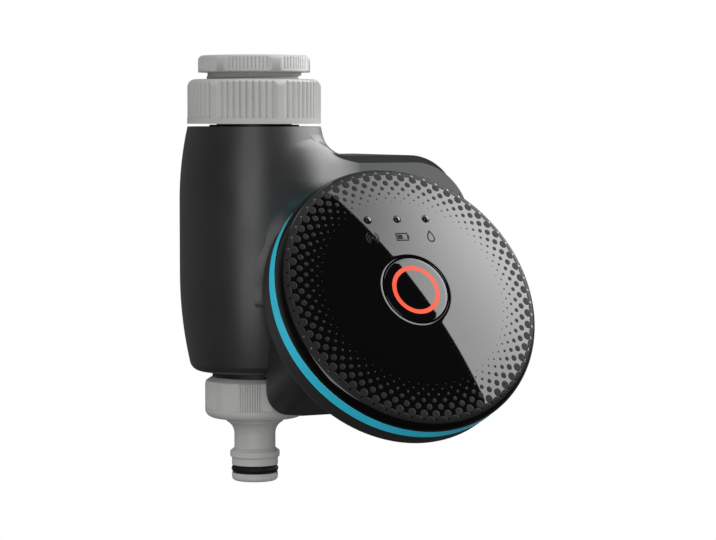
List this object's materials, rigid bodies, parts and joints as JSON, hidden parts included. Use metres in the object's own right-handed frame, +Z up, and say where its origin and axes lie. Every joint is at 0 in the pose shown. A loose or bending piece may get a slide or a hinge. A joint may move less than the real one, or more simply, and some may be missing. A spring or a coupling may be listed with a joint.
{
  "type": "smart irrigation controller",
  "caption": "Battery irrigation controller that screws onto a garden tap: water barrel, tilted round control head with push button, hose nipple below.",
  "frame": {"origin": "centre of the inlet mouth, on the top face of the thread adapter", "axes": "+Z up along the water axis, out of the inlet; the control head faces -Y, tilted up, and stands to the +X side"},
  "size_m": [0.1066, 0.1003, 0.1473],
  "materials": {
    "housing": "fine textured dark grey moulding",
    "fitting_grey": "semi-matt light grey moulding",
    "ring_blue": "satin blue moulding",
    "face_black": "polished black with a printed dot pattern",
    "light_orange": "translucent, lit",
    "clear_pipe": "smoked clear rods",
    "body_black": "black glass-filled moulding",
    "inner_grey": "plain moulding",
    "rubber_black": "soft rubber",
    "filter_mesh": "white fine mesh",
    "steel": "bright plated steel",
    "copper_coil": "enamelled copper winding",
    "board_green": "solder mask",
    "lamp_white": "small lamp bodies",
    "cell_wrap": "plain printed wrap",
    "contact_metal": "nickel plated spring steel",
    "magnet": "sintered magnet"
  },
  "bodies": {
    "housing": {"inlet_washer": "rubber_black", "inlet_filter": "filter_mesh", "water_body": "body_black", "diaphragm": "rubber_black", "diaphragm_spring": "steel", "valve_bonnet": "body_black", "bonnet_screws": "steel", "solenoid_coil": "copper_coil", "coil_yoke": "steel", "plunger_spring": "steel", "latch_magnet": "magnet", "front_housing": "housing", "rear_housing": "housing", "housing_screws": "steel", "battery_tray": "inner_grey", "batteries": "cell_wrap", "battery_contacts": "contact_metal", "trim_ring": "ring_blue", "face_plate": "face_black", "light_pipes": "clear_pipe", "circuit_board": "board_green", "board_screws": "steel", "indicator_lights": "lamp_white", "start_switch": "inner_grey", "radio_module": "steel"},
    "union_nut": {"union_nut": "fitting_grey"},
    "adapter_carrier": {"adapter_washer": "rubber_black"},
    "thread_adapter": {"thread_adapter": "fitting_grey"},
    "connector_carrier": {"outlet_washer": "rubber_black"},
    "outlet_connector": {"outlet_connector": "fitting_grey", "nipple_o_ring": "rubber_black"},
    "start_button": {"start_button": "face_black", "button_light_ring": "light_orange", "switch_pin": "inner_grey"},
    "battery_cover": {"battery_cover": "housing", "battery_cover_seal": "rubber_black", "battery_cover_screw": "steel"},
    "plunger": {"plunger": "steel"},
    "diaphragm_plate": {"diaphragm_plate": "inner_grey"}
  },
  "joints": [
    {"name": "union_nut_turn", "type": "hinge", "parent": "housing", "child": "union_nut", "pos_m": [0, 0, -0.0158], "axis": [0, 0, 1], "continuous": true},
    {"name": "adapter_travel", "type": "slide", "parent": "union_nut", "child": "adapter_carrier", "axis": [0, 0, 1], "range_m": [0, 0.0085]},
    {"name": "adapter_turn", "type": "hinge", "parent": "adapter_carrier", "child": "thread_adapter", "pos_m": [0, 0, -0.008], "axis": [0, 0, 1], "range_deg": [0, 1326]},
    {"name": "connector_travel", "type": "slide", "parent": "housing", "child": "connector_carrier", "axis": [0, 0, -1], "range_m": [0, 0.0099]},
    {"name": "connector_turn", "type": "hinge", "parent": "connector_carrier", "child": "outlet_connector", "pos_m": [0, 0, -0.118], "axis": [0, 0, -1], "range_deg": [0, 1980]},
    {"name": "start_button_press", "type": "slide", "parent": "housing", "child": "start_button", "axis": [0, 0.8834, -0.4685], "range_m": [0, 0.0008], "stiffness_N_per_m": 500, "springref_m": -0.001},
    {"name": "battery_cover_pull", "type": "slide", "parent": "housing", "child": "battery_cover", "axis": [0, 1, 0], "range_m": [0, 0.025]},
    {"name": "plunger_lift", "type": "slide", "parent": "housing", "child": "plunger", "axis": [0, 0, 1], "range_m": [0, 0.0018], "stiffness_N_per_m": 200, "springref_m": -0.002, "deforming": ["plunger_spring"]},
    {"name": "diaphragm_lift", "type": "slide", "parent": "housing", "child": "diaphragm_plate", "axis": [0, 0, 1], "range_m": [0, 0.002], "deforming": ["diaphragm_spring"]}
  ],
  "couplings": [
    {"joint": "adapter_turn", "follows": "adapter_travel", "rad_per_m": 2721.2},
    {"joint": "connector_turn", "follows": "connector_travel", "rad_per_m": 3463.7},
    {"joint": "diaphragm_lift", "follows": "plunger_lift", "ratio": 1.1}
  ]
}
